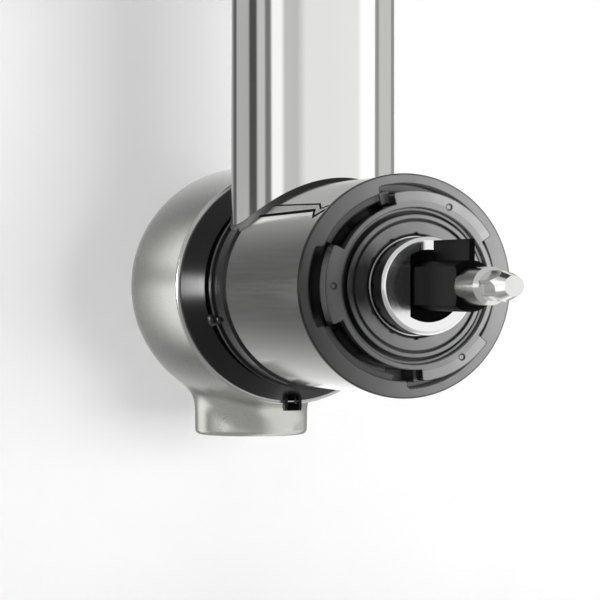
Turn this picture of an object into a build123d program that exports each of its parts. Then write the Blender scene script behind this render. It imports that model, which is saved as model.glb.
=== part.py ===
from build123d import *

import os
from math import acos, cos, radians, sin, sqrt, tan

# Cold press juicer head. The drum lies along Y: its drive end faces -Y, the juice housing is at +Y,
# the feed chute stands up along +Z and the juice spout points down. The origin is the middle of the
# drive stub's straight wall. Millimetres throughout.

os.makedirs("parts", exist_ok=True)

# ---- clearances -------------------------------------------------------------------------------
running_fit = 0.05  # radial gap of a shaft in its bush
slip_gap = 0.3  # gap between faces that move past each other
pusher_gap = 0.4  # radial gap of the pusher in the throat

# ---- drive stub and hub -----------------------------------------------------------------------
journal_length = 12.4  # straight wall of the stub
stub_lip = 1.6  # rounding of the stub's front rim
stub_radius = 19.4
stub_bore = 14.2
stub_step = 0.3  # the stub is this much thicker behind the hub face
stub_inner_length = 38.0  # length of the stub held inside the hub
hub_proud = 11.25  # the hub face stands this far in front of the flange face
hub_face_thickness = 8.0
hub_ledge = 1.3  # radial width of the sunk ledge round the face disc
hub_ledge_setback = 3.0
hub_moat = 1.1  # radial width of the moat between the disc and the ledge
hub_moat_depth = 5.0
hub_skirt = 3.0
hub_tube_wall = 4.3
hub_tube_length = 27.0  # behind the web
hub_groove_setback = 2.5  # from the face disc's edge
hub_groove_width = 0.9
hub_groove_depth = 1.4
hub_edge = 0.3  # chamfer of the face disc
gasket_thickness = 3.0
gasket_pocket_depth = 5.0
gasket_ring = 1.2  # radial width of the gasket between its lobes
gasket_lobe = 1.15  # radius of a lobe
gasket_lobe_count = 12
gasket_pocket_gap = 0.2  # free gap round the gasket

# ---- bayonet flange ---------------------------------------------------------------------------
flange_radius = 45.0
flange_plate = 2.25
channel_depth = 13.5
channel_wall = 7.0  # radial width of the flange's face ring
channel_width = 4.8  # free radial width of the channel
web_thickness = 4.0
flange_edge = 0.4  # chamfer of the outer front edge
recess_reach = 3.0  # the recesses reach this far out from the channel
recess_round = 1.3
recess_depth = 8.0
recess_spans = ((157.0, 204.0), (30.0, 106.5), (-89.0, -34.0))  # degrees, seen from the drive end
stop_angles = (103.9, -81.6)
stop_width = 4.6
stop_reach = 4.4  # how far the stops reach into the channel
stop_sink = 0.6  # how far the stops reach into the channel's wall
stop_setback = 0.6  # behind the flange face
lug_thickness = 7.1
lug_wall = 2.2  # wall of the ring that carries the lugs
lug_reach = 4.6  # the lugs stand this far out of the ring
lug_spans = ((154.2, 203.8), (31.9, 104.4), (-85.6, -36.2))
lug_round = 1.2  # rounding of the lugs' corners
lug_dimple_angles = (180.0, 65.7, -55.3)
lug_dimple_setback = 3.5  # from the lugs' outer edge
lug_dimple_radius = 1.2
lug_dimple_depth = 0.8
foot_spans = ((112.0, 147.0), (214.0, 262.0), (-29.0, 24.0))
foot_thickness = 3.0  # feet of the lug ring on the web
foot_screw_angles = (129.5, 238.0, -2.5)
screw_radius = 0.9
screw_head_radius = 1.7
screw_head = 0.9
screw_grip = 3.0  # length of the screw in the hub's web

# ---- bearing nose, its key and the shaft ------------------------------------------------------
nose_setback = 2.5  # the D-shaped root lies this far inside the stub's rim
nose_root_length = 25.0
nose_flat = 6.3  # distance of the D's flat from the axis, along the root and the boss
nose_radius = 9.7
nose_length = 47.4
nose_chamfer = 1.3
key_thickness = 2.2
key_height = 17.6  # from the axis
key_length = 36.9
segment_gap = 0.8  # between the nose's flat and the half-moon
segment_setback = 1.5  # how far the half-moon lies inside the stub's rim
segment_thickness = 6.0
shaft_head_radius = 7.1  # thick head of the shaft in front of the nose
shaft_radius = 4.6  # behind the head
shaft_reach = 19.8  # round head in front of the nose
hex_across_flats = 10.0
hex_reach = 20.2
hex_turn = 40.5  # degrees
hex_nose_length = 9.6
hex_nose_radius = 3.8
rear_hex_across_flats = 7.6
shoulder_chamfer = 1.6
bush_wall = 1.0
bush_length = 14.0
bearing_width = 10.0
seal_width = 5.0
seal_setback = 1.5
circlip_width = 1.2
circlip_radius = 6.8
circlip_depth = 0.7
chamber_seal_radius = 12.0

# ---- drum -------------------------------------------------------------------------------------
chamber_radius = 33.5
chamber_tube_wall = 3.0
chamber_wall = 6.0
drum_wall = 3.0
sleeve_thickness = 1.15
sleeve_step = 0.45  # the sleeve is this much slimmer than the flange
sleeve_length = 104.4
band_length = 28.35
band_step = 0.9  # the band stands this far outside the sleeve's own radius
band_ridge = 0.9
band_ridge_width = 3.0
band_groove = 1.6
band_groove_length = 11.0
collar_length = 16.65
collar_lip = 3.0
collar_wall = 2.6
collar_land = 1.0  # straight rim behind the cone
spigot_step = 1.9  # the spigot is this much slimmer than the drum
spigot_length = 16.0  # beyond the rim plane
pocket_end_setback = 6.0
ring_section = 1.2  # radius of the sealing ring's section
ring_setback = 3.6  # from the spigot's end
lock_lug_count = 3
lock_lug_height = 3.4
lock_lug_width = 4.0
lock_lug_setback = 3.2
lock_lug_span = 22.0  # degrees
lock_entry_play = 1.0  # degrees on each side of a lug in its entry slot
lock_turn = 26.0  # degrees that the housing turns to unlock
stud_angle = -161.0
stud_radius = 2.6
stud_height = 2.8  # above the band
small_stud_radius = 1.5
small_stud_height = 1.4
small_stud_setback = 2.6  # in front of the band's ridge

# ---- feed chute -------------------------------------------------------------------------------
chute_x = -2.0
chute_setback = 5.9  # the chute's axis lies this far behind the sleeve's end
chute_radius = 36.0
chute_wall = 1.0
chute_top = 150.0
chute_bead = 1.4
throat_wall = 2.4
throat_top = 60.0
foot_gap = 1.9  # the chute's foot ends this far outside the sleeve, on its gasket
gasket_proud = 0.4

# ---- hopper tray and pusher -------------------------------------------------------------------
tray_width = 150.0
tray_depth = 112.0
tray_corner = 36.0
tray_height = 24.0
tray_wall = 2.2
tray_flare = 12.0  # degrees
tray_skirt = 10.0
neck_height = 9.0
neck_wall = 2.2
pusher_rise = 2.0  # the pusher's foot hangs this far above the throat's rim
pusher_wall = 2.2
cap_overhang = 3.2  # beyond the neck
cap_height = 17.0
cap_plug = 8.0
cap_grip_radius = 14.0
cap_grip_depth = 9.0

# ---- auger, strainer --------------------------------------------------------------------------
auger_gap = 0.6
auger_disc = 4.0
auger_pitch = 30.0
flight_root = 6.0
flight_tip = 3.2
flight_bite = 2.0
core_front_radius = 13.0
core_middle_radius = 15.5
core_rear_radius = 27.5
core_rear_setback = 4.0  # the core is widest this far in front of the flight's end
auger_socket_depth = 26.0
socket_gap = 0.1
tip_radius = 5.0
tip_length = 12.0
nose_cone_radius = 8.0
strainer_wall = 0.6
strainer_length = 58.0
strainer_rows = 5
strainer_columns = 22
slot_width = 2.4
slot_length = 7.6
basket_wall = 2.4
basket_ring = 3.0
basket_rings = 4
basket_ribs = 8
basket_rib_width = 2.4

# ---- juice housing ----------------------------------------------------------------------------
rim_radius = 52.4
bulb_swell = 4.8  # the widest ring stands this far outside the rim
bulb_length = 61.65  # rim plane to the widest ring
dome_depth = 62.0
dome_flat = 25.0  # radius of the flat ring at the dome's back
shell_wall = 1.8
bead_height = 1.7  # above the rim
bead_front = 1.2
bead_length = 3.3
bead_round = 1.2
spout_radius = 26.8
spout_reach = 13.8  # its rim below the bulb's belly
spout_draft = 1.2  # degrees
spout_blend = 15.0
spout_rim_round = 2.4
spout_mouth = 24.3
liner_gap = 2.0  # round the spigot
liner_wall = 2.5
liner_flange = 2.6
juice_hole = 22.0
spout_liner_wall = 2.0
spout_liner_setback = 0.8
funnel_length = 14.5
funnel_wall = 3.0
nozzle_bore = 18.0
nozzle_wall = 2.5
nozzle_end_wall = 3.0
nozzle_reach = 38.0
spider_width = 6.0
spider_setback = 4.0
spider_ring = 1.5
spider_hub_wall = 2.0
spider_spoke = 3.0
tip_bush_wall = 2.5
shoulder_width = 3.0
shoulder_height = 3.0
nut_width = 4.0
nut_wall = 4.1
nut_edge = 0.8
knob_wall = 8.5
knob_gap = 0.8
knob_edge = 2.0
knob_groove = 2.4
knob_groove_depth = 1.0
knob_groove_setback = 2.0
knob_lip = 3.0
knob_mouth = 13.0
knob_grips = 12
knob_grip_radius = 2.2

# ---- release catch ----------------------------------------------------------------------------
catch_width = 4.6
catch_thickness = 1.6
catch_hook = 2.0
catch_tab = 2.5
catch_clearance = 1.0  # between the hook's end and the shell
pin_radius = 0.8
eye_radius = 1.7
ear_width = 1.4

# ---- stations along the drum, worked out from the sizes above ---------------------------------
journal_rear = journal_length / 2
stub_front = -journal_length / 2 - stub_lip
hub_face = journal_rear
flange_face = hub_face + hub_proud
sleeve_front = flange_face + flange_plate
channel_floor = flange_face + channel_depth
web_back = channel_floor + web_thickness
hub_back = web_back + hub_tube_length
chamber_front = hub_back + chamber_wall
sleeve_rear = sleeve_front + sleeve_length
chute_station = sleeve_rear + chute_setback
band_rear = sleeve_rear + band_length
rim_plane = band_rear + collar_length
spigot_rear = rim_plane + spigot_length
strainer_rear = spigot_rear + strainer_length
funnel_front = strainer_rear + slip_gap
end_wall_front = funnel_front + funnel_length
end_wall_back = end_wall_front + nozzle_end_wall
bulb_station = rim_plane + bulb_length
nozzle_rear = end_wall_back + nozzle_reach
nose_face = stub_front + nose_setback
nose_end = nose_face - nose_length
shaft_shoulder = nose_end - shaft_reach
shaft_tip = shaft_shoulder - hex_reach
everything = nozzle_rear - shaft_tip  # length of the whole head, for cuts right through a piece

# ---- radii worked out from the sizes above ----------------------------------------------------
stub_outer = stub_radius + stub_step
gasket_outer = stub_outer + gasket_ring
hub_tube_radius = stub_outer + hub_tube_wall
channel_radius = flange_radius - channel_wall
recess_radius = channel_radius + recess_reach
lug_ring_radius = channel_radius - channel_width
lug_radius = lug_ring_radius + lug_reach
hub_radius = lug_ring_radius - lug_wall
ledge_radius = hub_radius - hub_ledge
hub_disc_radius = ledge_radius - hub_moat
hub_groove_radius = hub_disc_radius - hub_groove_setback
sleeve_radius = flange_radius - sleeve_step
drum_radius = sleeve_radius - sleeve_thickness
drum_inner = drum_radius - drum_wall
spigot_radius = drum_radius - spigot_step
chamber_tube_radius = chamber_radius + chamber_tube_wall
band_radius = sleeve_radius + band_step
foot_radius = sleeve_radius + foot_gap
chute_inner = chute_radius - chute_wall
throat_radius = chute_inner - throat_wall
neck_radius = throat_radius + neck_wall
cap_radius = neck_radius + cap_overhang
hex_corner = hex_across_flats / sqrt(3)
rear_hex_corner = rear_hex_across_flats / sqrt(3)
hex_nose_start = shaft_tip + hex_nose_length
shaft_bore = shaft_radius + running_fit
bush_radius = shaft_bore + bush_wall
auger_radius = chamber_radius - auger_gap
strainer_radius = chamber_radius + strainer_wall
basket_radius = strainer_radius + basket_wall
liner_radius = spigot_radius + liner_gap
ring_radius = liner_radius - slip_gap - ring_section
liner_outer = liner_radius + liner_wall
nozzle_radius = nozzle_bore + nozzle_wall
nut_radius = nozzle_radius + nut_wall
knob_radius = nozzle_radius + knob_wall
bulb_radius = rim_radius + bulb_swell
spout_foot = bulb_radius + spout_reach  # its rim below the axis
bead_outer = rim_radius + bead_height
shell_mouth = rim_radius - shell_wall
pusher_radius = throat_radius - pusher_gap

AXIS = Axis.Y


def across(station):
    """Plane square to the drum's axis, seen from the drive end: X to the right, Z up."""
    return Plane.XZ.offset(-station)


def level(height):
    """Horizontal plane through the chute's own axis."""
    return Plane(origin=(chute_x, chute_station, height))


def sector(inner, outer, start, end):
    """Face of a ring from angle start to angle end, in degrees."""
    with BuildSketch() as face:
        with BuildLine():
            CenterArc((0, 0), outer, start, end - start)
            Line((outer * cos(radians(end)), outer * sin(radians(end))), polar(inner, end))
            CenterArc((0, 0), inner, end, start - end)
            Line(polar(inner, start), polar(outer, start))
        make_face()
    return face.sketch


def polar(radius, angle):
    """Point at a radius and an angle in degrees."""
    return (radius * cos(radians(angle)), radius * sin(radians(angle)))


def finish(part, name):
    """Labels a finished piece and writes it."""
    part.part.label = name
    export_step(part.part, f"parts/{name}.step")


# ================================================================================================
# Drive end
# ================================================================================================

# Polished tube that a motor's socket grips. Its front rim is rolled over.
stub_rear = hub_face + stub_inner_length
with BuildPart() as stub_tube:
    with BuildSketch(Plane.XY):
        Polygon(
            (stub_bore, stub_front),
            (stub_radius, stub_front),
            (stub_radius, hub_face),
            (stub_outer, hub_face),
            (stub_outer, stub_rear),
            (stub_bore, stub_rear),
            align=None,
        )
    revolve(axis=AXIS)
    rim = stub_tube.edges().filter_by(GeomType.CIRCLE).group_by(AXIS)[0]
    fillet(rim.sort_by(SortBy.RADIUS)[-1], stub_lip)
finish(stub_tube, "stub_tube")


def lobed(clearance):
    """Outline of the stub's gasket, with round lobes, moved out by a clearance."""
    with BuildSketch() as outline:
        Circle(gasket_outer - gasket_lobe / 2 + clearance)
        with PolarLocations(gasket_outer - gasket_lobe, gasket_lobe_count):
            Circle(gasket_lobe + clearance)
    return outline.sketch


# Rubber gasket round the stub's foot, at the bottom of the hub's pocket.
pocket_floor = hub_face + gasket_pocket_depth
with BuildPart() as hub_gasket:
    with BuildSketch(across(pocket_floor)):
        add(lobed(0))
        Circle(stub_outer, mode=Mode.SUBTRACT)
    extrude(amount=gasket_thickness)
finish(hub_gasket, "hub_gasket")

# Hub moulding: face disc with a ring groove, moat, sunk ledge, skirt, web and the tube on the stub.
skirt_inner = hub_radius - hub_skirt
with BuildPart() as hub_carrier:
    with BuildSketch(Plane.XY):
        Polygon(
            (stub_outer, hub_face),
            (hub_disc_radius, hub_face),
            (hub_disc_radius, hub_face + hub_moat_depth),
            (ledge_radius, hub_face + hub_moat_depth),
            (ledge_radius, hub_face + hub_ledge_setback),
            (hub_radius, hub_face + hub_ledge_setback),
            (hub_radius, channel_floor),
            (drum_radius, channel_floor),
            (drum_radius, web_back),
            (skirt_inner, web_back),
            (skirt_inner, hub_face + hub_face_thickness),
            (hub_tube_radius, hub_face + hub_face_thickness),
            (hub_tube_radius, hub_back),
            (stub_outer, hub_back),
            align=None,
        )
    revolve(axis=AXIS)
    with BuildSketch(Plane.XY):
        with Locations((hub_groove_radius, hub_face)):
            Rectangle(hub_groove_width, 2 * hub_groove_depth)
    revolve(axis=AXIS, mode=Mode.SUBTRACT)
    front_edges = hub_carrier.edges().filter_by(GeomType.CIRCLE).group_by(AXIS)[0]
    chamfer(front_edges.sort_by(SortBy.RADIUS)[-1], hub_edge)
    with BuildSketch(across(hub_face)):
        add(lobed(gasket_pocket_gap))
        Circle(stub_outer, mode=Mode.SUBTRACT)
    extrude(amount=-gasket_pocket_depth, mode=Mode.SUBTRACT)
    screw_spots = [polar((lug_ring_radius + channel_radius) / 2, angle) for angle in foot_screw_angles]
    with BuildSketch(across(channel_floor)):
        with Locations(*screw_spots):
            Circle(screw_radius)
    extrude(amount=-screw_grip, mode=Mode.SUBTRACT)
finish(hub_carrier, "hub_carrier")

# Ring of three bayonet lugs round the hub. Its feet stand on the web between the lugs.
with BuildPart() as lug_ring:
    with BuildSketch(across(hub_face)) as lugs:
        for start, end in lug_spans:
            add(sector(lug_ring_radius - lug_wall / 2, lug_radius, start, end))
        fillet([corner for corner in lugs.vertices() if Vector(corner).length > lug_ring_radius], lug_round)
        Circle(lug_ring_radius)
        Circle(hub_radius, mode=Mode.SUBTRACT)
    extrude(amount=-lug_thickness)
    with BuildSketch(across(hub_face)):
        Circle(lug_ring_radius)
        Circle(hub_radius, mode=Mode.SUBTRACT)
    extrude(amount=hub_face - channel_floor)
    with BuildSketch(across(channel_floor)):
        for start, end in foot_spans:
            add(sector(lug_ring_radius - lug_wall / 2, channel_radius - slip_gap, start, end))
        with Locations(*screw_spots):
            Circle(screw_radius, mode=Mode.SUBTRACT)
    extrude(amount=foot_thickness)
    with BuildSketch(across(hub_face)):
        with Locations(*[polar(lug_radius - lug_dimple_setback, angle) for angle in lug_dimple_angles]):
            Circle(lug_dimple_radius)
    extrude(amount=-lug_dimple_depth, mode=Mode.SUBTRACT)
finish(lug_ring, "lug_ring")

# Screws through the feet into the hub's web, as one group of separate solids.
foot_top = channel_floor - foot_thickness
with BuildPart() as lug_screws:
    with BuildSketch(across(foot_top)):
        with Locations(*screw_spots):
            Circle(screw_head_radius)
    extrude(amount=screw_head)
    with BuildSketch(across(foot_top)):
        with Locations(*screw_spots):
            Circle(screw_radius)
    extrude(amount=-foot_thickness - screw_grip)
finish(lug_screws, "lug_screws")

# Smoky bayonet flange: face ring, channel wall, a recess behind each lug and two turn stops.
with BuildPart() as bayonet_flange:
    with BuildSketch(across(flange_face)):
        Circle(flange_radius)
    extrude(amount=-flange_plate)
    chamfer(bayonet_flange.edges().group_by(AXIS)[0], flange_edge)
    with BuildSketch(across(flange_face)):
        Circle(drum_radius)
    extrude(amount=-channel_depth)
    with BuildSketch(across(flange_face)) as recesses:
        Circle(channel_radius)
        for start, end in recess_spans:
            add(sector(channel_radius / 2, recess_radius, start, end))
        fillet(recesses.vertices(), recess_round)
    extrude(amount=-recess_depth, mode=Mode.SUBTRACT)
    with BuildSketch(across(flange_face)):
        Circle(channel_radius)
    extrude(amount=-channel_depth, mode=Mode.SUBTRACT)
    for angle in stop_angles:
        with BuildSketch(across(flange_face + stop_setback)):
            with Locations(Location(polar(channel_radius + stop_sink, angle), angle)):
                Rectangle(stop_reach + stop_sink, stop_width, align=(Align.MAX, Align.CENTER))
        extrude(amount=stop_setback - channel_depth)
finish(bayonet_flange, "bayonet_flange")

# Bearing nose: D-shaped root in the stub's bore, round boss and the radial key.
with BuildPart() as bearing_nose:
    with BuildSketch(across(nose_face)):
        Circle(stub_bore)
        with Locations((-nose_flat, 0)):
            Rectangle(stub_bore, 2 * stub_bore, align=(Align.MAX, Align.CENTER), mode=Mode.SUBTRACT)
    extrude(amount=-nose_root_length)
    with BuildSketch(across(nose_face)):
        Circle(nose_radius)
        with Locations((-nose_flat, 0)):
            Rectangle(stub_bore, 2 * stub_bore, align=(Align.MAX, Align.CENTER), mode=Mode.SUBTRACT)
    extrude(amount=nose_length)
    chamfer(bearing_nose.edges().filter_by(GeomType.CIRCLE).group_by(AXIS)[0], nose_chamfer)
    with BuildSketch(Plane.YZ.offset(-key_thickness / 2)):
        with Locations((nose_end, 0)):
            Rectangle(key_length, key_height, align=(Align.MIN, Align.MIN))
    extrude(amount=key_thickness)
    with BuildSketch(across(nose_end)):
        Circle(shaft_bore + slip_gap)
    extrude(amount=-everything, mode=Mode.SUBTRACT)
    with BuildSketch(across(nose_end)):
        Circle(bush_radius)
    extrude(amount=-bush_length, mode=Mode.SUBTRACT)
finish(bearing_nose, "bearing_nose")

# Steel half-moon in the stub's bore, beside the nose's flat.
with BuildPart() as bore_segment:
    with BuildSketch(across(stub_front + segment_setback)):
        Circle(stub_bore)
        with Locations((-nose_flat - segment_gap, 0)):
            Rectangle(stub_bore, 2 * stub_bore, align=(Align.MAX, Align.CENTER), mode=Mode.INTERSECT)
    extrude(amount=-segment_thickness)
finish(bore_segment, "bore_segment")

# Bush in the nose, bearing and lip seal in the stub's bore, seal in the chamber's front wall.
with BuildPart() as nose_bush:
    with BuildSketch(across(nose_end)):
        Circle(bush_radius)
        Circle(shaft_bore, mode=Mode.SUBTRACT)
    extrude(amount=-bush_length)
finish(nose_bush, "nose_bush")

seal_front = stub_rear - seal_setback - seal_width
bearing_front = seal_front - bearing_width
with BuildPart() as rear_bearing:
    with BuildSketch(across(bearing_front)):
        Circle(stub_bore)
        Circle(shaft_bore, mode=Mode.SUBTRACT)
    extrude(amount=-bearing_width)
finish(rear_bearing, "rear_bearing")

with BuildPart() as shaft_seal:
    with BuildSketch(across(seal_front)):
        Circle(stub_bore)
        Circle(shaft_bore, mode=Mode.SUBTRACT)
    extrude(amount=-seal_width)
finish(shaft_seal, "shaft_seal")

with BuildPart() as chamber_seal:
    with BuildSketch(across(hub_back)):
        Circle(chamber_seal_radius)
        Circle(shaft_bore, mode=Mode.SUBTRACT)
    extrude(amount=-chamber_wall)
finish(chamber_seal, "chamber_seal")

# Drive shaft: hexagonal tip, thick head in front of the nose, core, hexagonal end in the auger. It goes
# in from the front and the circlip behind the nose keeps it.
shaft_rear = chamber_front + auger_gap
circlip_front = nose_face + nose_root_length + slip_gap
head_rear = nose_end - slip_gap
with BuildPart() as drive_shaft:
    with BuildSketch(Plane.XY):
        Polygon(
            (0, shaft_shoulder),
            (shaft_head_radius - shoulder_chamfer, shaft_shoulder),
            (shaft_head_radius, shaft_shoulder + shoulder_chamfer),
            (shaft_head_radius, head_rear),
            (shaft_radius, head_rear),
            (shaft_radius, circlip_front),
            (shaft_radius - circlip_depth, circlip_front),
            (shaft_radius - circlip_depth, circlip_front + circlip_width),
            (shaft_radius, circlip_front + circlip_width),
            (shaft_radius, shaft_rear),
            (0, shaft_rear),
            align=None,
        )
    revolve(axis=AXIS)
    with BuildSketch(across(shaft_shoulder)):
        RegularPolygon(hex_corner, 6, rotation=hex_turn)
    extrude(amount=hex_reach)
    with BuildSketch(Plane.XY):
        Polygon(
            (hex_corner, hex_nose_start),
            (2 * hex_corner, hex_nose_start),
            (2 * hex_corner, shaft_tip),
            (hex_nose_radius, shaft_tip),
            align=None,
        )
    revolve(axis=AXIS, mode=Mode.SUBTRACT)
    with BuildSketch(across(shaft_rear)):
        RegularPolygon(rear_hex_corner, 6, rotation=hex_turn)
    extrude(amount=-(auger_socket_depth - slip_gap))
finish(drive_shaft, "drive_shaft")

with BuildPart() as shaft_circlip:
    with BuildSketch(across(circlip_front)):
        Circle(circlip_radius)
        Circle(shaft_radius - circlip_depth, mode=Mode.SUBTRACT)
    extrude(amount=-circlip_width)
finish(shaft_circlip, "shaft_circlip")

# ================================================================================================
# Drum
# ================================================================================================

pocket_end = sleeve_rear - pocket_end_setback
groove_front = band_rear - band_groove_length
ridge_front = groove_front - band_ridge_width
with BuildPart() as drum_body:
    with BuildSketch(Plane.XY):
        Polygon(
            (chamber_seal_radius, hub_back),
            (chamber_tube_radius, hub_back),
            (chamber_tube_radius, pocket_end),
            (drum_inner, pocket_end),
            (drum_inner, web_back),
            (drum_radius, web_back),
            (drum_radius, sleeve_rear),
            (band_radius, sleeve_rear),
            (band_radius, ridge_front),
            (band_radius + band_ridge, ridge_front),
            (band_radius + band_ridge, groove_front),
            (band_radius - band_groove, groove_front),
            (band_radius - band_groove, band_rear),
            (spigot_radius, band_rear),
            (spigot_radius, spigot_rear),
            (0, spigot_rear),
            (0, chamber_front),
            (chamber_seal_radius, chamber_front),
            align=None,
        )
    revolve(axis=AXIS)
    with BuildSketch(level(0)):
        Circle(chute_inner)
    extrude(amount=throat_top)
    with BuildSketch(level(0)):
        Circle(throat_radius)
    extrude(amount=everything, mode=Mode.SUBTRACT)
    with BuildSketch(across(chamber_front)):
        Circle(chamber_radius)
    extrude(amount=-everything, mode=Mode.SUBTRACT)
    for turn in range(lock_lug_count):
        start = turn * 360 / lock_lug_count
        with BuildSketch(across(rim_plane + lock_lug_setback)):
            add(sector(spigot_radius - 1, spigot_radius + lock_lug_height, start, start + lock_lug_span))
        extrude(amount=-lock_lug_width)
    with BuildSketch(Plane.XY):
        with Locations((ring_radius, spigot_rear - ring_setback)):
            Rectangle(2 * ring_section, 2 * ring_section)
    revolve(axis=AXIS, mode=Mode.SUBTRACT)
finish(drum_body, "drum_body")

# Polished steel sleeve over the drum, cut away round the chute's throat.
with BuildPart() as drum_sleeve:
    with BuildSketch(across(sleeve_front)):
        Circle(sleeve_radius)
        Circle(drum_radius, mode=Mode.SUBTRACT)
    extrude(amount=-sleeve_length)
    with BuildSketch(level(0)):
        Circle(chute_inner)
    extrude(amount=everything, mode=Mode.SUBTRACT)
finish(drum_sleeve, "drum_sleeve")

# Conical collar behind the band. It closes the housing's mouth and carries the catch's ears on its rim.
collar_rear = rim_plane - bead_front - slip_gap
pivot_y = collar_rear - eye_radius
pivot_z = -(bead_outer + slip_gap + catch_thickness / 2)
ear_root = rim_radius - collar_wall  # the ears reach in to the cone's inside
with BuildPart() as lock_collar:
    with BuildSketch(Plane.XY):
        Polygon(
            (spigot_radius, band_rear),
            (band_radius, band_rear),
            (rim_radius, collar_rear - collar_land),
            (rim_radius, collar_rear),
            (rim_radius - collar_wall, collar_rear),
            (rim_radius - collar_wall, collar_rear - collar_land),
            (band_radius - collar_wall, band_rear + collar_lip),
            (spigot_radius, band_rear + collar_lip),
            align=None,
        )
    revolve(axis=AXIS)
    for side in (-1, 1):
        middle = side * (catch_width / 2 + slip_gap + ear_width / 2)
        with BuildSketch(Plane.YZ.offset(middle - ear_width / 2)):
            with Locations((pivot_y, pivot_z)):
                Circle(eye_radius)
            Polygon(
                (pivot_y - eye_radius, pivot_z),
                (pivot_y + eye_radius, pivot_z),
                (pivot_y + eye_radius, -ear_root),
                (pivot_y - eye_radius, -ear_root),
                align=None,
            )
            with Locations((pivot_y, pivot_z)):
                Circle(pin_radius, mode=Mode.SUBTRACT)
        extrude(amount=ear_width)
    with BuildSketch(level(0)):
        Circle(chute_radius + gasket_proud)
    extrude(amount=everything, mode=Mode.SUBTRACT)
finish(lock_collar, "lock_collar")

# Round studs on the band that index the housing: a large one in the groove, a small one before the ridge.
stud_x, stud_z = polar(1, stud_angle)
stud_axis = Axis((0, 0, 0), (stud_x, 0, stud_z))
stud_spots = (
    (stud_radius, stud_height, band_radius - band_groove, groove_front + slip_gap + stud_radius),
    (small_stud_radius, small_stud_height, band_radius, ridge_front - small_stud_setback),
)
with BuildPart() as lock_studs:
    for radius, height, foot, station in stud_spots:
        with BuildSketch(Plane(origin=(0, station, 0), x_dir=(0, 1, 0), z_dir=(stud_x, 0, stud_z))):
            Circle(radius)
        extrude(amount=band_radius + height)
        fillet(lock_studs.edges(Select.LAST).sort_by(stud_axis)[-1], radius / 2)
        with BuildSketch(across(station - radius)):
            Circle(foot)
        extrude(amount=-2 * radius, mode=Mode.SUBTRACT)
finish(lock_studs, "lock_studs")

# Rubber ring in the spigot's groove.
with BuildPart() as spigot_ring:
    with BuildSketch(Plane.XY):
        with Locations((ring_radius, spigot_rear - ring_setback)):
            Circle(ring_section)
    revolve(axis=AXIS)
finish(spigot_ring, "spigot_ring")

# ================================================================================================
# Feed chute, tray and pusher
# ================================================================================================

# Polished steel chute. Its foot is cut to the drum's curve.
with BuildPart() as feed_chute:
    with BuildSketch(level(0)):
        Circle(chute_radius)
        Circle(chute_inner, mode=Mode.SUBTRACT)
    extrude(amount=chute_top)
    with BuildSketch(level(chute_top - chute_bead)):
        Circle(chute_radius + chute_bead)
        Circle(chute_inner, mode=Mode.SUBTRACT)
    extrude(amount=chute_bead)
    with BuildSketch(across(0)):
        Circle(foot_radius)
    extrude(amount=-everything, mode=Mode.SUBTRACT)
finish(feed_chute, "feed_chute")

# Black saddle gasket between the chute's foot and the drum.
with BuildPart() as foot_gasket:
    with BuildSketch(level(0)):
        Circle(chute_radius + gasket_proud)
        Circle(chute_inner, mode=Mode.SUBTRACT)
    extrude(amount=foot_radius)
    with BuildSketch(across(0)):
        Circle(foot_radius)
    extrude(amount=-everything, mode=Mode.INTERSECT)
    with BuildSketch(Plane.XY):
        Polygon(
            (0, 0),
            (sleeve_radius, 0),
            (sleeve_radius, sleeve_rear),
            (band_radius, sleeve_rear),
            (band_radius, ridge_front),
            (band_radius + band_ridge, ridge_front),
            (band_radius + band_ridge, groove_front),
            (band_radius - band_groove, groove_front),
            (band_radius - band_groove, band_rear),
            (band_radius, band_rear),
            (rim_radius, collar_rear),
            (rim_radius, everything),
            (0, everything),
            align=None,
        )
    revolve(axis=AXIS, mode=Mode.SUBTRACT)
finish(foot_gasket, "foot_gasket")

# Hopper tray: flared dish with a spigot into the chute, a skirt round it and a raised neck.
with BuildPart() as hopper_tray:
    with BuildSketch(level(chute_top)):
        RectangleRounded(tray_width, tray_depth, tray_corner)
    extrude(amount=tray_height, taper=-tray_flare)
    with BuildSketch(level(chute_top + tray_wall)):
        RectangleRounded(tray_width - 2 * tray_wall, tray_depth - 2 * tray_wall, tray_corner - tray_wall)
    extrude(amount=tray_height, taper=-tray_flare, mode=Mode.SUBTRACT)
    with BuildSketch(level(chute_top)):
        Circle(neck_radius)
    extrude(amount=neck_height + tray_wall)
    with BuildSketch(level(chute_top)):
        Circle(chute_radius + chute_bead + slip_gap + tray_wall)
        Circle(chute_radius + chute_bead + slip_gap, mode=Mode.SUBTRACT)
    extrude(amount=-tray_skirt)
    with BuildSketch(level(chute_top)):
        Circle(chute_inner - slip_gap)
    extrude(amount=-tray_skirt)
    with BuildSketch(level(0)):
        Circle(throat_radius)
    extrude(amount=everything, mode=Mode.SUBTRACT)
finish(hopper_tray, "hopper_tray")

# Pusher: thin closed cup, with a cap that rests on the tray's neck.
cap_bottom = chute_top + tray_wall + neck_height
pusher_bottom = throat_top + pusher_rise
with BuildPart() as pusher:
    with BuildSketch(level(pusher_bottom)):
        Circle(pusher_radius)
    extrude(amount=cap_bottom - pusher_bottom)
    fillet(pusher.edges().group_by(Axis.Z)[0], pusher_wall)
    with BuildSketch(level(pusher_bottom + pusher_wall)):
        Circle(pusher_radius - pusher_wall)
    extrude(amount=everything, mode=Mode.SUBTRACT)
finish(pusher, "pusher")

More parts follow.
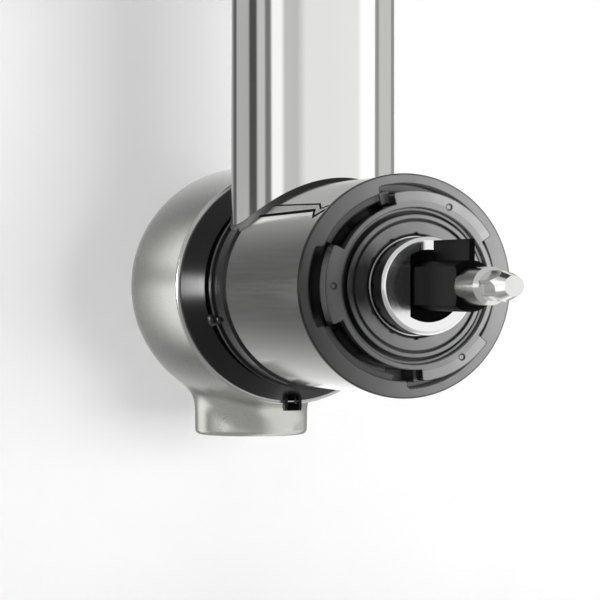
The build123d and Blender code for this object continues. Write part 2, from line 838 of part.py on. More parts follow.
with BuildPart() as pusher_cap:
    with BuildSketch(level(cap_bottom)):
        Circle(cap_radius)
    extrude(amount=cap_height)
    fillet(pusher_cap.edges().group_by(Axis.Z)[-1], cap_height / 3)
    with BuildSketch(level(cap_bottom + cap_height)):
        Circle(cap_grip_radius + 2 * tray_wall)
        Circle(cap_grip_radius - 2 * tray_wall, mode=Mode.SUBTRACT)
    extrude(amount=-cap_grip_depth, mode=Mode.SUBTRACT)
    with BuildSketch(level(cap_bottom)):
        Circle(pusher_radius - pusher_wall)
    extrude(amount=-cap_plug)
finish(pusher_cap, "pusher_cap")

# ================================================================================================
# Auger and strainer
# ================================================================================================

auger_front = chamber_front + auger_gap
flight_end = strainer_rear
with BuildPart() as auger:
    flight_length = flight_end - auger_front - auger_pitch / 4
    path = Helix(
        pitch=auger_pitch,
        height=flight_length,
        radius=auger_radius,
        center=(0, auger_front + auger_pitch / 8, 0),
        direction=(0, 1, 0),
    )
    start = path @ 0
    out = Vector(start.X, 0, start.Z).normalized()
    reach = auger_radius - core_front_radius
    with BuildSketch(Plane(origin=start, x_dir=out, z_dir=path % 0)):
        Polygon(
            (flight_bite, -flight_tip / 2),
            (flight_bite, flight_tip / 2),
            (-reach, flight_root / 2),
            (-reach, -flight_root / 2),
            align=None,
        )
    sweep(path=path, is_frenet=True)
    with BuildSketch(across(auger_front)):
        Circle(auger_radius)
    extrude(amount=auger_front - flight_end, mode=Mode.INTERSECT)
    with BuildSketch(Plane.XY):
        Polygon(
            (0, auger_front),
            (auger_radius, auger_front),
            (auger_radius, auger_front + auger_disc / 2),
            (auger_radius - auger_disc, auger_front + auger_disc),
            (core_front_radius, auger_front + auger_disc),
            (core_middle_radius, chute_station),
            (core_rear_radius, flight_end - core_rear_setback),
            (nose_cone_radius, end_wall_front),
            (tip_radius, end_wall_front),
            (tip_radius, end_wall_front + tip_length),
            (0, end_wall_front + tip_length),
            align=None,
        )
    revolve(axis=AXIS)
    with BuildSketch(across(auger_front)):
        RegularPolygon(rear_hex_corner + socket_gap, 6, rotation=hex_turn)
    extrude(amount=-auger_socket_depth, mode=Mode.SUBTRACT)
finish(auger, "auger")

# Thin steel strainer with rows of slots, and the moulded basket that carries it.
slot_pitch = strainer_length / strainer_rows
with BuildPart() as strainer:
    with BuildSketch(across(spigot_rear)):
        Circle(strainer_radius)
        Circle(chamber_radius, mode=Mode.SUBTRACT)
    extrude(amount=-strainer_length)
    slots = []
    for row in range(strainer_rows):
        station = spigot_rear + (row + 0.5) * slot_pitch
        for column in range(strainer_columns):
            turn = (column + 0.5 * (row % 2)) * 360 / strainer_columns
            slots.append(Location((0, station, 0), (0, turn, 0)) * Location((chamber_radius, 0, 0)))
    with Locations(*slots):
        Box(4 * strainer_wall, slot_length, slot_width, mode=Mode.SUBTRACT)
finish(strainer, "strainer")

with BuildPart() as basket:
    with BuildSketch(across(spigot_rear)):
        Circle(spigot_radius)
        Circle(strainer_radius, mode=Mode.SUBTRACT)
    extrude(amount=-basket_ring)
    for ring in range(1, basket_rings):
        ring_front = spigot_rear + ring * (strainer_length - basket_ring) / (basket_rings - 1)
        with BuildSketch(across(ring_front)):
            Circle(basket_radius)
            Circle(strainer_radius, mode=Mode.SUBTRACT)
        extrude(amount=-basket_ring)
    with BuildSketch(across(spigot_rear)):
        with PolarLocations((strainer_radius + basket_radius) / 2, basket_ribs):
            Rectangle(basket_wall, basket_rib_width)
        Circle(strainer_radius, mode=Mode.SUBTRACT)
    extrude(amount=-strainer_length)
finish(basket, "basket")

# ================================================================================================
# Juice housing
# ================================================================================================

dome_sweep = acos(dome_flat / bulb_radius)
dome_back = bulb_station + dome_depth * sin(dome_sweep)
dome_back_inside = bulb_station + (dome_depth - shell_wall) * sin(dome_sweep)


def bulb(inset):
    """Closed bulb with its spout, all its faces moved in by an inset. The dome is part of an ellipse."""
    across_radius = bulb_radius - inset
    depth = dome_depth - inset
    pull = 4 / 3 * tan(dome_sweep / 4)
    widest = (across_radius, bulb_station)
    mouth = (rim_radius - inset, rim_plane)
    back_radius = across_radius * cos(dome_sweep)
    back_station = bulb_station + depth * sin(dome_sweep)
    with BuildPart() as body:
        with BuildSketch(Plane.XY):
            with BuildLine():
                TangentArc(widest, mouth, tangent=(0, -1))
                Bezier(
                    widest,
                    (across_radius, bulb_station + pull * depth),
                    (
                        back_radius + pull * across_radius * sin(dome_sweep),
                        back_station - pull * depth * cos(dome_sweep),
                    ),
                    (back_radius, back_station),
                )
                Polyline((back_radius, back_station), (0, back_station), (0, rim_plane), mouth)
            make_face()
        revolve(axis=AXIS)
        with BuildSketch(Plane(origin=(0, bulb_station, -spout_foot + inset))):
            Circle(spout_radius - inset)
        extrude(amount=spout_foot - inset, taper=-spout_draft)
        joins = body.edges().filter_by(GeomType.BSPLINE)
        fillet(joins, spout_blend + inset)
    return body.part


outer_bulb = bulb(0)
inner_bulb = bulb(shell_wall)

# Satin metal shell: bulb open at its mouth, flat at the back, with the juice spout below.
with BuildPart() as housing_shell:
    add(outer_bulb)
    foot_edges = housing_shell.edges().filter_by(GeomType.CIRCLE).group_by(Axis.Z)[0]
    fillet(foot_edges, spout_rim_round)
    add(inner_bulb, mode=Mode.SUBTRACT)
    with BuildSketch(across(dome_back)):
        Circle(nozzle_radius)
    extrude(amount=dome_depth, mode=Mode.SUBTRACT)
    with BuildSketch(Plane(origin=(0, bulb_station, -spout_foot))):
        Circle(spout_mouth)
    extrude(amount=spout_foot / 2, mode=Mode.SUBTRACT)
finish(housing_shell, "housing_shell")

# Bright rolled bead round the shell's mouth.
with BuildPart() as rim_bead:
    with BuildSketch(across(rim_plane - bead_front)):
        Circle(bead_outer)
        Circle(shell_mouth, mode=Mode.SUBTRACT)
    extrude(amount=-bead_length)
    outer_edges = rim_bead.edges().filter_by(GeomType.CIRCLE).group_by(SortBy.RADIUS)[-1]
    fillet(outer_edges, bead_round)
    add(outer_bulb, mode=Mode.SUBTRACT)
finish(rim_bead, "rim_bead")

# Moulded liner: collects the juice, seats in the shell's mouth and locks on the drum's lugs.
liner_front = rim_plane + slip_gap
lug_front = rim_plane + lock_lug_setback
lug_pocket = spigot_radius + lock_lug_height + slip_gap
lug_pocket_front = lug_front - slip_gap
lug_pocket_rear = lug_front + lock_lug_width + slip_gap
spout_liner_radius = juice_hole + spout_liner_wall
with BuildPart() as housing_liner:
    with BuildSketch(Plane.XY):
        Polygon(
            (spigot_radius + slip_gap, liner_front),
            (bulb_radius, liner_front),
            (bulb_radius, liner_front + liner_flange),
            (lug_pocket + liner_wall, liner_front + liner_flange),
            (lug_pocket + liner_wall, lug_pocket_rear),
            (liner_outer, lug_pocket_rear + liner_wall),
            (liner_outer, end_wall_back),
            (nozzle_radius, end_wall_back),
            (nozzle_radius, end_wall_front),
            (liner_radius, end_wall_front),
            (liner_radius, lug_pocket_rear),
            (lug_pocket, lug_pocket_rear),
            (lug_pocket, lug_pocket_front),
            (spigot_radius + slip_gap, lug_pocket_front),
            align=None,
        )
    revolve(axis=AXIS)
    for turn in range(lock_lug_count):
        start = turn * 360 / lock_lug_count + lock_turn - lock_entry_play
        with BuildSketch(across(liner_front)):
            add(sector(spigot_radius - 1, lug_pocket, start, start + lock_lug_span + 2 * lock_entry_play))
        extrude(amount=liner_front - lug_pocket_front, mode=Mode.SUBTRACT)
    with BuildSketch(Plane(origin=(0, bulb_station, -spout_foot))):
        Circle(spout_liner_radius)
    extrude(amount=spout_foot, mode=Mode.SUBTRACT)
    add(inner_bulb, mode=Mode.INTERSECT)
finish(housing_liner, "housing_liner")

# Tube that leads the juice from the liner down through the spout.
with BuildPart() as spout_liner:
    with BuildSketch(Plane(origin=(0, bulb_station, -spout_foot + spout_liner_setback))):
        Circle(spout_liner_radius)
        Circle(juice_hole, mode=Mode.SUBTRACT)
    extrude(amount=spout_foot)
    with BuildSketch(Plane.XY.offset(0)):
        with Locations((0, bulb_station)):
            Rectangle(everything, everything)
    extrude(amount=everything, mode=Mode.SUBTRACT)
    with BuildSketch(across(0)):
        Circle(liner_radius)
    extrude(amount=-everything, mode=Mode.SUBTRACT)
finish(spout_liner, "spout_liner")

# Funnel behind the strainer that leads the pulp into the nozzle.
with BuildPart() as pulp_funnel:
    with BuildSketch(Plane.XY):
        Polygon(
            (strainer_radius, funnel_front),
            (liner_radius, funnel_front),
            (liner_radius, funnel_front + funnel_wall),
            (basket_radius, funnel_front + funnel_wall),
            (nozzle_radius, end_wall_front),
            (nozzle_bore, end_wall_front),
            align=None,
        )
    revolve(axis=AXIS)
finish(pulp_funnel, "pulp_funnel")

# Nozzle tube, with a shoulder inside the shell's back and a groove for the end knob.
groove_start = nozzle_rear - knob_groove_setback - knob_groove
with BuildPart() as pulp_nozzle:
    with BuildSketch(Plane.XY):
        Polygon(
            (nozzle_bore, end_wall_front),
            (nozzle_radius, end_wall_front),
            (nozzle_radius, dome_back_inside - shoulder_width),
            (nozzle_radius + shoulder_height, dome_back_inside - shoulder_width),
            (nozzle_radius + shoulder_height, dome_back_inside),
            (nozzle_radius, dome_back_inside),
            (nozzle_radius, groove_start),
            (nozzle_radius - knob_groove_depth, groove_start),
            (nozzle_radius - knob_groove_depth, groove_start + knob_groove),
            (nozzle_radius, groove_start + knob_groove),
            (nozzle_radius, nozzle_rear),
            (nozzle_bore, nozzle_rear),
            align=None,
        )
    revolve(axis=AXIS)
finish(pulp_nozzle, "pulp_nozzle")

# Three-legged bearing that carries the auger's tip inside the nozzle, with its bush.
spider_front = end_wall_front + spider_setback
tip_bore = tip_radius + running_fit
tip_bush_radius = tip_bore + tip_bush_wall
with BuildPart() as tip_bush:
    with BuildSketch(across(spider_front)):
        Circle(tip_bush_radius)
        Circle(tip_bore, mode=Mode.SUBTRACT)
    extrude(amount=-spider_width)
finish(tip_bush, "tip_bush")

with BuildPart() as tip_spider:
    with BuildSketch(across(spider_front)):
        Circle(nozzle_bore)
        Circle(nozzle_bore - spider_ring, mode=Mode.SUBTRACT)
        Circle(tip_bush_radius + spider_hub_wall)
        for spoke in range(3):
            with Locations(Location((0, 0), 90 + 120 * spoke)):
                Rectangle(nozzle_bore - spider_ring / 2, spider_spoke, align=(Align.MIN, Align.CENTER))
        Circle(tip_bush_radius, mode=Mode.SUBTRACT)
    extrude(amount=-spider_width)
finish(tip_spider, "tip_spider")

# Nut that clamps the shell's flat back on the nozzle's shoulder.
with BuildPart() as shell_nut:
    with BuildSketch(across(dome_back)):
        RegularPolygon(nut_radius, 8)
        Circle(nozzle_radius, mode=Mode.SUBTRACT)
    extrude(amount=-nut_width)
    chamfer(shell_nut.edges().group_by(AXIS)[-1].filter_by(GeomType.LINE), nut_edge)
finish(shell_nut, "shell_nut")

# Knob on the nozzle's end. Its mouth narrows the way out for the pulp as it is turned.
knob_front = dome_back + nut_width + knob_gap
knob_rear = nozzle_rear + slip_gap + knob_lip
knob_bore = nozzle_radius + slip_gap
knob_rib = nozzle_radius - knob_groove_depth + slip_gap
with BuildPart() as pulp_knob:
    with BuildSketch(Plane.XY):
        Polygon(
            (knob_bore, knob_front),
            (knob_radius, knob_front),
            (knob_radius, knob_rear),
            (knob_mouth, knob_rear),
            (knob_mouth, nozzle_rear + slip_gap),
            (knob_bore, nozzle_rear + slip_gap),
            (knob_bore, groove_start + knob_groove - slip_gap),
            (knob_rib, groove_start + knob_groove - slip_gap),
            (knob_rib, groove_start + slip_gap),
            (knob_bore, groove_start + slip_gap),
            align=None,
        )
    revolve(axis=AXIS)
    outer_edges = pulp_knob.edges().filter_by(GeomType.CIRCLE).group_by(SortBy.RADIUS)[-1]
    fillet(outer_edges, knob_edge)
    with BuildSketch(across(knob_front)):
        with PolarLocations(knob_radius + knob_grip_radius / 2, knob_grips):
            Circle(knob_grip_radius)
    extrude(amount=knob_front - knob_rear, mode=Mode.SUBTRACT)
finish(pulp_knob, "pulp_knob")

# ================================================================================================
# Release catch under the rim
# ================================================================================================

hook_front = rim_plane - bead_front + bead_length + slip_gap
with BuildPart() as release_catch:
    with BuildSketch(Plane.YZ.offset(-catch_width / 2)):
        Polygon(
            (pivot_y - catch_tab, pivot_z - catch_thickness / 2),
            (hook_front + catch_hook, pivot_z - catch_thickness / 2),
            (hook_front + catch_hook, -rim_radius - catch_clearance),
            (hook_front, -rim_radius - catch_clearance),
            (hook_front, pivot_z + catch_thickness / 2),
            (pivot_y - catch_tab, pivot_z + catch_thickness / 2),
            align=None,
        )
        with Locations((pivot_y, pivot_z)):
            Circle(eye_radius)
            Circle(pin_radius + running_fit, mode=Mode.SUBTRACT)
    extrude(amount=catch_width)
finish(release_catch, "release_catch")

with BuildPart() as catch_pin:
    with BuildSketch(Plane.YZ.offset(-catch_width / 2 - slip_gap - ear_width)):
        with Locations((pivot_y, pivot_z)):
            Circle(pin_radius)
    extrude(amount=catch_width + 2 * slip_gap + 2 * ear_width)
finish(catch_pin, "catch_pin")
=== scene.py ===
import math

import bpy
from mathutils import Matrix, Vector


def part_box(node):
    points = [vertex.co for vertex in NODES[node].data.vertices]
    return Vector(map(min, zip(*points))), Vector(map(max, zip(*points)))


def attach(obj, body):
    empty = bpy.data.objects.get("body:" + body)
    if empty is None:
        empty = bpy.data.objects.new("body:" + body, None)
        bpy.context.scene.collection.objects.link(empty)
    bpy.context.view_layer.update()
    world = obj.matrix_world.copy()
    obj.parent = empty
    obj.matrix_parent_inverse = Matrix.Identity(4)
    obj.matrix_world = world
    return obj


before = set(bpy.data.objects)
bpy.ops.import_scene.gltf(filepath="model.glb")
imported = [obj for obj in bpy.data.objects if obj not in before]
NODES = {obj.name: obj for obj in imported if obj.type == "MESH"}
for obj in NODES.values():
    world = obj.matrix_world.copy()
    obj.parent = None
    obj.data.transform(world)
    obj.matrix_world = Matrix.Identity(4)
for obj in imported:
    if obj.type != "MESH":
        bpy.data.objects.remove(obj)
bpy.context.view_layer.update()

# The juicer head lies along Y with its drive end towards -Y. All lengths are in metres.

FLANGE_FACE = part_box("bayonet_flange")[0].y
SLEEVE_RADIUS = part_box("drum_sleeve")[1].x

# ---- the photograph's view --------------------------------------------------------------------
CAMERA_PLACE = Vector((-0.34462, -0.90632, 0.0))
CAMERA_AIM = Vector((0.3090, 0.9511, 0.0))
SIDEWAYS = Vector((CAMERA_AIM.y, -CAMERA_AIM.x, 0))  # to the right in the picture
MIDDLE = Vector((0, 0.15, 0))  # what the lamps look at and the backdrop stands round
LENS = 148.14  # millimetres
SENSOR_WIDTH = 36  # millimetres
SHIFT_Y = -14 / 600


# ================================================================================================
# Node trees
# ================================================================================================


def grey(level):
    """Grey as a node's colour."""
    return (level, level, level, 1)


class Tree:
    """Short way to add and join nodes of a material or a world."""

    def __init__(self, owner):
        owner.use_nodes = True
        self.nodes = owner.node_tree.nodes
        self.links = owner.node_tree.links
        self.nodes.clear()

    def add(self, kind, inputs=(), **settings):
        """A node with its settings; inputs maps a socket to a value or to another socket."""
        node = self.nodes.new(kind)
        for name, value in settings.items():
            setattr(node, name, value)
        for name, value in dict(inputs).items():
            if isinstance(value, bpy.types.NodeSocket):
                self.links.new(value, node.inputs[name])
            else:
                node.inputs[name].default_value = value
        return node

    def math(self, operation, *values):
        """Result of a maths node."""
        return self.add("ShaderNodeMath", enumerate(values), operation=operation).outputs[0]

    def product(self, first, *others):
        """All the values multiplied together."""
        for other in others:
            first = self.math("MULTIPLY", first, other)
        return first

    def own_place(self):
        """Place in the object's own coordinates."""
        return self.add("ShaderNodeTexCoord").outputs["Object"]

    def parts(self, vector):
        """X, Y and Z of a vector, by name."""
        return self.add("ShaderNodeSeparateXYZ", {0: vector}).outputs

    def flat_length(self, x, z):
        """Length of a vector that lies across the drum's axis."""
        vector = self.add("ShaderNodeCombineXYZ", {"X": x, "Z": z}).outputs[0]
        return self.add("ShaderNodeVectorMath", {0: vector}, operation="LENGTH").outputs["Value"]

    def dot(self, vector, direction):
        """How far a vector goes in a direction."""
        inputs = {0: vector, 1: tuple(direction)}
        return self.add("ShaderNodeVectorMath", inputs, operation="DOT_PRODUCT").outputs["Value"]

    def spread(self, value, source, target, **settings):
        """Maps the source range to the target range."""
        ends = {"From Min": source[0], "From Max": source[1], "To Min": target[0], "To Max": target[1]}
        return self.add("ShaderNodeMapRange", {"Value": value, **ends}, **settings).outputs[0]

    def smooth(self, value, start, end, low=0.0):
        """Goes softly from low at start to 1 at end."""
        return self.spread(value, (start, end), (low, 1.0), interpolation_type="SMOOTHSTEP")

    def noise(self, scale, stretch=(1, 1, 1), detail=2.0):
        """Noise over the object's own coordinates, stretched along the axes."""
        spread = self.add("ShaderNodeMapping", {"Vector": self.own_place(), "Scale": stretch}).outputs[0]
        return self.add("ShaderNodeTexNoise", {"Vector": spread, "Scale": scale, "Detail": detail}).outputs[0]

    def mix(self, factor, first, second):
        """Colour that goes from the first to the second as the factor grows."""
        inputs = {"Factor": factor, 6: first, 7: second}
        return self.add("ShaderNodeMix", inputs, data_type="RGBA").outputs[2]

    def ramp(self, factor, stops):
        """Colour ramp of grey or colour stops."""
        stops = list(stops)
        node = self.add("ShaderNodeValToRGB", {0: factor})
        elements = node.color_ramp.elements
        while len(elements) < len(stops):
            elements.new(0.5)
        for element, (position, colour) in zip(elements, stops):
            element.position = position
            element.color = (*colour, 1) if isinstance(colour, tuple) else grey(colour)
        return node.outputs[0]


# ================================================================================================
# Materials
# ================================================================================================

FINE_RANGE = (0.25, 0.75)  # what most of a fine noise lies between
BROAD_RANGE = (0.3, 0.7)
FINE_DETAIL = 3.0
BROADER = 25  # the colour's noise is this many times as broad as the relief's
RELIEF_HEIGHT = 0.0001


def finish_surface(tree, colour, fine, roughness, bump, metallic=0.0, **extra):
    """Shader whose roughness and relief follow a fine noise. roughness is a range."""
    rough = tree.spread(fine, FINE_RANGE, roughness)
    relief = tree.add("ShaderNodeBump", {"Height": fine, "Strength": bump, "Distance": RELIEF_HEIGHT})
    surface = tree.add(
        "ShaderNodeBsdfPrincipled", {"Base Color": colour, "Roughness": rough, "Normal": relief.outputs[0]}
    )
    surface.inputs["Metallic"].default_value = metallic
    for socket, value in extra.items():
        surface.inputs[socket.replace("_", " ")].default_value = value
    tree.add("ShaderNodeOutputMaterial", {"Surface": surface.outputs[0]})


def finish_material(name, colours, roughness, metallic=0.0, grain=900, stretch=(1, 1, 1), bump=0.1, **extra):
    """Material whose colour, roughness and relief vary by noise. colours and roughness are ranges."""
    material = bpy.data.materials.new(name)
    tree = Tree(material)
    fine = tree.noise(grain, stretch, FINE_DETAIL)
    broad = tree.noise(grain / BROADER, stretch)
    colour = tree.ramp(broad, zip(BROAD_RANGE, colours))
    finish_surface(tree, colour, fine, roughness, bump, metallic, **extra)
    return material


# ---- places on the smoky mouldings; depths are counted from the flange's face, back from it ----
HUB_FACE = 0.0062
MOAT_OUTER = 0.0297
LUG_FOOT = 0.0336  # just outside the ring that carries the lugs
LUG_RIM = (0.0366, 0.0372)  # just inside the lugs' outer wall
LUG_SIDE_DEPTH = (-0.003, -0.005)
LUG_FACE_DEPTH = (-0.006, -0.009)
LUG_LIT = (-0.020, 0.010)  # X from where to where painted light makes the lugs' faces lighter
PROUD_DEPTH = (-0.010, -0.002)
CHANNEL_MOUTH = (0.001, 0.003)
CHANNEL_DEPTH = (0.004, 0.0095)
PAINTED_SHADOW_MIDDLE = (-0.0235, 0.002)  # X and Z of the middle of the painted shadow, the moulding's darkest part
CORE_REACH = (0.003, 0.0125)
CORE_SQUASH = 0.6  # heights count less, so that the core is taller than wide
EDGE_ROUND = 0.0009
STEP = 0.0004  # width over which the shade changes at a step

# ---- and how light they are: painted light and painted shade -----------------------------------
# Painted light: the smoky faces are painted lighter to the right and upwards, as if light fell through them
# from there.
AXIS_SHADE = 0.182
PAINTED_LIGHT_TO_RIGHT = 3.9  # more for each metre
PAINTED_LIGHT_UPWARDS = 1.05  # more for each metre
LEAST_SHADE = 0.012
CORE_SHARE = 0.10  # these four are shares of the shade round about: painted shadow in the core, painted light on proud faces, and painted shade in the channel and on the ledges
PROUD_SHARE = 1.18
CHANNEL_SHARE = 0.26
LEDGE_PAINTED_SHADE = 0.48
MOAT_PAINTED_SHADE = 0.95
LUG_PAINTED_LIGHT = 0.28
CHANNEL_PAINTED_GLOW = 0.05
RIM_PAINTED_HIGHLIGHT = 0.30
SIDE_PAINTED_SHADE = 0.005
CLOUDS = (0.9, 1.1)
FRONT_FACING = ((0.93, 0.0), (0.99, 1.0))  # how squarely a face looks forward, and how pale it is
LEFT_FACING = (0.90, 0.99)


def painted_face_shade(tree, spot, radius, depth, strength):
    """Painted light and shade of the smoky front faces: lighter to the right and upwards, painted shadow in
    the core, painted shade in the moat and the depth.
    """
    # Painted light, growing to the right and upwards.
    across = tree.product(spot["X"], PAINTED_LIGHT_TO_RIGHT)
    upward = tree.product(spot["Z"], PAINTED_LIGHT_UPWARDS)
    shade = tree.math("ADD", tree.math("ADD", across, upward), AXIS_SHADE)

    # Painted shadow: a dark patch at the left of the hub, darkest in its middle.
    core_x = tree.math("SUBTRACT", spot["X"], PAINTED_SHADOW_MIDDLE[0])
    core_z = tree.product(tree.math("SUBTRACT", spot["Z"], PAINTED_SHADOW_MIDDLE[1]), CORE_SQUASH)
    core = tree.smooth(tree.flat_length(core_x, core_z), *CORE_REACH, low=CORE_SHARE)

    # Painted shade on the moat's sunk floor.
    within = tree.smooth(radius, MOAT_OUTER + STEP / 4, MOAT_OUTER - STEP / 4)
    sunk = tree.product(tree.smooth(spot["Y"], HUB_FACE + STEP, HUB_FACE + 2.5 * STEP), within)
    moat = tree.math("SUBTRACT", 1.0, tree.product(sunk, MOAT_PAINTED_SHADE))

    # Painted light on the lugs' faces, more of it to the right.
    beyond_foot = tree.smooth(radius, LUG_FOOT, LUG_FOOT + STEP)
    lug_face = tree.product(beyond_foot, tree.smooth(depth, *LUG_FACE_DEPTH))
    lit_lug = tree.product(lug_face, tree.smooth(spot["X"], *LUG_LIT))
    lug = tree.math("ADD", tree.product(lit_lug, LUG_PAINTED_LIGHT), 1.0)

    cloud = tree.spread(tree.noise(60), BROAD_RANGE, CLOUDS)
    shade = tree.math("MAXIMUM", tree.product(shade, core, moat, lug, cloud), LEAST_SHADE)

    # Painted shade deeper in the channel, painted light on faces that stand proud, and a faint painted glow
    # in the channel.
    shallow = tree.spread(depth, CHANNEL_DEPTH, (1.0, CHANNEL_SHARE))
    proud = tree.spread(depth, PROUD_DEPTH, (PROUD_SHARE, 1.0))
    shade = tree.product(shade, shallow, proud, strength)
    channel = tree.product(tree.smooth(depth, *CHANNEL_MOUTH), beyond_foot)
    return tree.math("ADD", shade, tree.product(channel, CHANNEL_PAINTED_GLOW))


def smoky_material(name, strength):
    """Smoky see-through moulding: painted light on its front faces, painted shade that makes it black in its
    depth and along its edges, and a painted highlight on the lugs' left walls.
    """
    material = bpy.data.materials.new(name)
    tree = Tree(material)
    spot = tree.parts(tree.own_place())
    radius = tree.flat_length(spot["X"], spot["Z"])
    depth = tree.math("SUBTRACT", spot["Y"], FLANGE_FACE)
    shade = painted_face_shade(tree, spot, radius, depth, strength)

    # Painted shade: faces that do not look forward, and the rounded edges, are near black; the lugs'
    # left-facing outer walls get a painted highlight streak.
    rounded = tree.parts(tree.add("ShaderNodeBevel", {"Radius": EDGE_ROUND}, samples=6).outputs[0])
    front = tree.ramp(tree.product(rounded["Y"], -1.0), FRONT_FACING)
    leftward = tree.smooth(tree.product(rounded["X"], -1.0), *LEFT_FACING)
    rim = tree.product(tree.smooth(radius, *LUG_RIM), tree.smooth(depth, *LUG_SIDE_DEPTH))
    side = tree.math("ADD", tree.product(leftward, rim, RIM_PAINTED_HIGHLIGHT), SIDE_PAINTED_SHADE)
    colour = tree.add("ShaderNodeMix", {"Factor": front, 2: side, 3: shade}, data_type="FLOAT").outputs[0]
    finish_surface(tree, colour, tree.noise(1200, detail=FINE_DETAIL), (0.10, 0.16), 0.02)
    return material


def steel_with_painted_dark_side(name):
    """Polished steel, bright on its front face, with its side wall painted near black: a painted dark
    reflection.
    """
    material = bpy.data.materials.new(name)
    tree = Tree(material)
    normal = tree.parts(tree.add("ShaderNodeNewGeometry").outputs["Normal"])
    # Painted dark reflection: faces that do not look forward are painted near black.
    colour = tree.ramp(tree.product(normal["Y"], -1.0), [(0.10, 0.13), (0.45, 0.93)])
    finish_surface(tree, colour, tree.noise(900, detail=FINE_DETAIL), (0.12, 0.20), 0.02, metallic=1.0)
    return material


# Streaks of a finish: the less the scale along an axis, the longer the streaks run that way.
UPWARD_STREAKS = (1, 1, 0.02)
LONG_STREAKS = (1, 0.03, 1)
SHORT_STREAKS = (1, 0.05, 1)

MATERIALS = {
    "chute_steel": finish_material(
        "chute_steel", ((0.76, 0.76, 0.75), (0.82, 0.82, 0.81)), (0.05, 0.08), 1.0,
        grain=700, stretch=UPWARD_STREAKS, bump=0.02,
    ),
    "sleeve_steel": finish_material(
        "sleeve_steel", ((0.62, 0.62, 0.61), (0.68, 0.68, 0.67)), (0.10, 0.16), 1.0,
        grain=800, stretch=LONG_STREAKS, bump=0.03,
    ),
    "bright_steel": finish_material(
        "bright_steel", ((0.80, 0.80, 0.80), (0.86, 0.86, 0.86)), (0.10, 0.16), 1.0, bump=0.02,
    ),
    "satin_steel": finish_material(
        "satin_steel", ((0.60, 0.60, 0.58), (0.66, 0.66, 0.64)), (0.20, 0.26), 1.0,
        grain=1500, stretch=SHORT_STREAKS, bump=0.03,
    ),
    "shaft_steel": finish_material(
        "shaft_steel", ((0.78, 0.78, 0.76), (0.84, 0.84, 0.82)), (0.13, 0.19), 1.0,
        grain=1500, stretch=SHORT_STREAKS, bump=0.03,
    ),
    "satin_nickel": finish_material(
        "satin_nickel", ((0.595, 0.60, 0.565), (0.615, 0.62, 0.585)), (0.26, 0.30), 1.0,
        grain=2600, bump=0.08,
    ),
    "smoky_plastic": smoky_material("smoky_plastic", 1.0),
    # A copy of the smoky moulding with painted shade, darker, for the ledges deep in the channel.
    "smoky_deep_painted_shade": smoky_material("smoky_deep_painted_shade", LEDGE_PAINTED_SHADE),
    "stub_steel": steel_with_painted_dark_side("stub_steel"),
    "seam_steel": finish_material(
        "seam_steel", ((0.50, 0.50, 0.48), (0.60, 0.60, 0.58)), (0.22, 0.30), 1.0,
        grain=800, stretch=LONG_STREAKS, bump=0.03,
    ),
    # Painted shadow for the seams' gaps: near black, with no shine.
    "seam_painted_shadow": finish_material(
        "seam_painted_shadow", ((0.020, 0.020, 0.018), (0.030, 0.030, 0.028)), (0.80, 0.90),
        grain=800, stretch=LONG_STREAKS, bump=0.03, Specular_IOR_Level=0.0,
    ),
    "black_steel": finish_material(
        "black_steel", ((0.010, 0.010, 0.010), (0.016, 0.016, 0.016)), (0.30, 0.40), bump=0.05,
    ),
    "black_gloss": finish_material(
        "black_gloss", ((0.005, 0.005, 0.005), (0.009, 0.009, 0.009)), (0.10, 0.18), bump=0.02,
    ),
    "black_matte": finish_material(
        "black_matte", ((0.002, 0.002, 0.002), (0.003, 0.003, 0.003)), (0.34, 0.44),
        grain=2200, Specular_IOR_Level=0.02,
    ),
    "black_satin": finish_material(
        "black_satin", ((0.002, 0.002, 0.002), (0.004, 0.004, 0.004)), (0.20, 0.26),
        bump=0.02, Specular_IOR_Level=0.18,
    ),
    "bead_steel": finish_material(
        "bead_steel", ((0.50, 0.50, 0.50), (0.56, 0.56, 0.56)), (0.18, 0.24), 1.0, bump=0.02,
    ),
    "black_rubber": finish_material(
        "black_rubber", ((0.006, 0.006, 0.006), (0.010, 0.010, 0.010)), (0.45, 0.60), grain=1800,
    ),
    "bush_bronze": finish_material(
        "bush_bronze", ((0.50, 0.36, 0.18), (0.60, 0.45, 0.25)), (0.25, 0.35), 1.0, bump=0.05,
    ),
}

FINISHES = {
    "chute_steel": ("feed_chute",),
    "sleeve_steel": ("drum_sleeve",),
    "stub_steel": ("stub_tube",),
    "bead_steel": ("rim_bead",),
    "bright_steel": ("bore_segment",),
    "shaft_steel": ("drive_shaft",),
    "satin_steel": ("shaft_circlip", "strainer", "rear_bearing"),
    "black_steel": ("lug_screws", "catch_pin"),
    "black_satin": ("lock_collar",),
    "satin_nickel": ("housing_shell",),
    "smoky_plastic": ("bayonet_flange", "hub_carrier", "lug_ring"),
    "black_gloss": (
        "drum_body", "lock_studs", "hopper_tray", "pusher_cap", "pulp_knob", "shell_nut",
    ),
    "black_matte": (
        "bearing_nose", "release_catch", "auger", "basket", "housing_liner", "pulp_funnel", "pulp_nozzle",
        "tip_spider", "spout_liner", "pusher",
    ),
    "black_rubber": ("hub_gasket", "shaft_seal", "chamber_seal", "spigot_ring", "foot_gasket"),
    "bush_bronze": ("nose_bush", "tip_bush"),
}

for finish, names in FINISHES.items():
    for name in names:
        mesh = NODES[name].data
        mesh.materials.clear()
        mesh.materials.append(MATERIALS[finish])

# ================================================================================================
# New pieces
# ================================================================================================


def mesh_object(name, corners, faces, material):
    """Object with a mesh of its own, put in the scene."""
    mesh = bpy.data.meshes.new(name)
    mesh.from_pydata(corners, [], faces)
    mesh.materials.append(material)
    piece = bpy.data.objects.new(name, mesh)
    bpy.context.scene.collection.objects.link(piece)
    return piece


